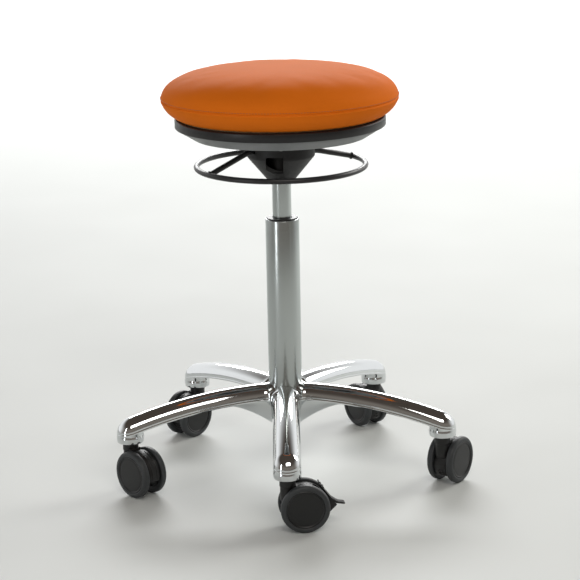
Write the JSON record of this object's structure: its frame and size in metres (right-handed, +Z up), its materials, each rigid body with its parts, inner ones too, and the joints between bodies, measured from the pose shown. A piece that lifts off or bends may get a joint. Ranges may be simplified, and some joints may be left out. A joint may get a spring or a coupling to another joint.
{
  "type": "medical stool",
  "caption": "Round padded swivel stool on a height-adjustable column with a hand ring under the seat and a polished star base on twin-wheel casters.",
  "frame": {"origin": "on the floor, on the column's axis", "axes": "+Z up along the column; the leg whose caster has the brake points along -Y"},
  "size_m": [0.5347, 0.5212, 0.619],
  "materials": {
    "upholstery": "smooth upholstery leather, orange",
    "plywood": "birch plywood",
    "black_plastic": "satin moulded",
    "silver_plastic": "silver-grey moulded",
    "black_steel": "black powder coat",
    "black_casting": "black coated casting",
    "zinc_steel": "bright zinc plate",
    "chromed_steel": "ground and chromed",
    "satin_tube": "satin chromed tube",
    "polished_aluminium": "polished",
    "buffer_rubber": "moulded",
    "caster_plastic": "moulded",
    "wheel_plastic": "moulded",
    "soft_tread": "soft grey tread"
  },
  "bodies": {
    "base": {"star_base": "polished_aluminium", "column_tube": "satin_tube", "guide_bush": "black_plastic", "thrust_bearing": "zinc_steel", "rubber_buffer": "buffer_rubber", "caster_1_stem": "zinc_steel", "caster_2_stem": "zinc_steel", "caster_3_stem": "zinc_steel", "caster_4_stem": "zinc_steel", "caster_5_stem": "zinc_steel"},
    "piston": {"piston_rod": "chromed_steel", "piston_head": "zinc_steel", "retaining_clip": "zinc_steel"},
    "seat": {"seat_cushion": "upholstery", "seat_board": "plywood", "tee_nuts": "zinc_steel", "seat_tray": "black_plastic", "under_cover": "silver_plastic", "cover_screws": "zinc_steel", "seat_plate": "black_steel", "plate_bolts": "zinc_steel", "mechanism_housing": "black_casting", "lever_pivot_pin": "zinc_steel", "gas_cylinder": "chromed_steel"},
    "release_lever": {"release_ring": "black_steel", "ring_spokes": "black_steel", "actuator_plate": "black_steel"},
    "valve": {"valve_button": "zinc_steel"},
    "caster_1": {"caster_1_hood": "caster_plastic", "caster_1_axle": "zinc_steel", "brake_pin": "zinc_steel"},
    "caster_1_left": {"caster_1_wheel_left": "wheel_plastic", "caster_1_tread_left": "soft_tread"},
    "caster_1_right": {"caster_1_wheel_right": "wheel_plastic", "caster_1_tread_right": "soft_tread"},
    "brake": {"brake_pedal": "caster_plastic"},
    "caster_2": {"caster_2_hood": "caster_plastic", "caster_2_axle": "zinc_steel"},
    "caster_2_left": {"caster_2_wheel_left": "wheel_plastic", "caster_2_tread_left": "soft_tread"},
    "caster_2_right": {"caster_2_wheel_right": "wheel_plastic", "caster_2_tread_right": "soft_tread"},
    "caster_3": {"caster_3_hood": "caster_plastic", "caster_3_axle": "zinc_steel"},
    "caster_3_left": {"caster_3_wheel_left": "wheel_plastic", "caster_3_tread_left": "soft_tread"},
    "caster_3_right": {"caster_3_wheel_right": "wheel_plastic", "caster_3_tread_right": "soft_tread"},
    "caster_4": {"caster_4_hood": "caster_plastic", "caster_4_axle": "zinc_steel"},
    "caster_4_left": {"caster_4_wheel_left": "wheel_plastic", "caster_4_tread_left": "soft_tread"},
    "caster_4_right": {"caster_4_wheel_right": "wheel_plastic", "caster_4_tread_right": "soft_tread"},
    "caster_5": {"caster_5_hood": "caster_plastic", "caster_5_axle": "zinc_steel"},
    "caster_5_left": {"caster_5_wheel_left": "wheel_plastic", "caster_5_tread_left": "soft_tread"},
    "caster_5_right": {"caster_5_wheel_right": "wheel_plastic", "caster_5_tread_right": "soft_tread"}
  },
  "joints": [
    {"name": "seat_swivel", "type": "hinge", "parent": "base", "child": "piston", "pos_m": [0, 0, 0.3], "axis": [0, 0, 1], "continuous": true},
    {"name": "seat_height", "type": "slide", "parent": "piston", "child": "seat", "axis": [0, 0, 1], "range_m": [-0.045, 0.15]},
    {"name": "ring_lift", "type": "hinge", "parent": "seat", "child": "release_lever", "pos_m": [-0.02544, -0.0159, 0.5185], "axis": [-0.5299, 0.848, 0], "range_deg": [0, 4], "stiffness_Nm_per_rad": 20, "springref_deg": -2.86},
    {"name": "valve_press", "type": "slide", "parent": "seat", "child": "valve", "axis": [0, 0, -1], "range_m": [0, 0.0022]},
    {"name": "caster_1_swivel", "type": "hinge", "parent": "base", "child": "caster_1", "pos_m": [0, -0.243, 0.06], "axis": [0, 0, 1], "continuous": true},
    {"name": "caster_1_left_roll", "type": "hinge", "parent": "caster_1", "child": "caster_1_left", "pos_m": [0.02253, -0.24023, 0.035], "axis": [-0.1219, 0.9925, 0], "continuous": true},
    {"name": "caster_1_right_roll", "type": "hinge", "parent": "caster_1", "child": "caster_1_right", "pos_m": [0.02253, -0.24023, 0.035], "axis": [-0.1219, 0.9925, 0], "continuous": true},
    {"name": "brake_press", "type": "hinge", "parent": "caster_1", "child": "brake", "pos_m": [0.04169, -0.23788, 0.052], "axis": [-0.1219, 0.9925, 0], "range_deg": [0, 12]},
    {"name": "caster_2_swivel", "type": "hinge", "parent": "base", "child": "caster_2", "pos_m": [0.23111, -0.07509, 0.06], "axis": [0, 0, 1], "continuous": true},
    {"name": "caster_2_left_roll", "type": "hinge", "parent": "caster_2", "child": "caster_2_left", "pos_m": [0.24413, -0.0565, 0.035], "axis": [-0.8192, 0.5736, 0], "continuous": true},
    {"name": "caster_2_right_roll", "type": "hinge", "parent": "caster_2", "child": "caster_2_right", "pos_m": [0.24413, -0.0565, 0.035], "axis": [-0.8192, 0.5736, 0], "continuous": true},
    {"name": "caster_3_swivel", "type": "hinge", "parent": "base", "child": "caster_3", "pos_m": [0.14283, 0.19659, 0.06], "axis": [0, 0, 1], "continuous": true},
    {"name": "caster_3_left_roll", "type": "hinge", "parent": "caster_3", "child": "caster_3_left", "pos_m": [0.13047, 0.21563, 0.035], "axis": [-0.8387, -0.5446, 0], "continuous": true},
    {"name": "caster_3_right_roll", "type": "hinge", "parent": "caster_3", "child": "caster_3_right", "pos_m": [0.13047, 0.21563, 0.035], "axis": [-0.8387, -0.5446, 0], "continuous": true},
    {"name": "caster_4_swivel", "type": "hinge", "parent": "base", "child": "caster_4", "pos_m": [-0.14283, 0.19659, 0.06], "axis": [0, 0, 1], "continuous": true},
    {"name": "caster_4_left_roll", "type": "hinge", "parent": "caster_4", "child": "caster_4_left", "pos_m": [-0.15742, 0.1792, 0.035], "axis": [0.766, -0.6428, 0], "continuous": true},
    {"name": "caster_4_right_roll", "type": "hinge", "parent": "caster_4", "child": "caster_4_right", "pos_m": [-0.15742, 0.1792, 0.035], "axis": [0.766, -0.6428, 0], "continuous": true},
    {"name": "caster_5_swivel", "type": "hinge", "parent": "base", "child": "caster_5", "pos_m": [-0.23111, -0.07509, 0.06], "axis": [0, 0, 1], "continuous": true},
    {"name": "caster_5_left_roll", "type": "hinge", "parent": "caster_5", "child": "caster_5_left", "pos_m": [-0.21563, -0.09169, 0.035], "axis": [0.7314, 0.682, 0], "continuous": true},
    {"name": "caster_5_right_roll", "type": "hinge", "parent": "caster_5", "child": "caster_5_right", "pos_m": [-0.21563, -0.09169, 0.035], "axis": [0.7314, 0.682, 0], "continuous": true}
  ],
  "couplings": [
    {"joint": "valve_press", "follows": "ring_lift", "m_per_rad": 0.03}
  ]
}
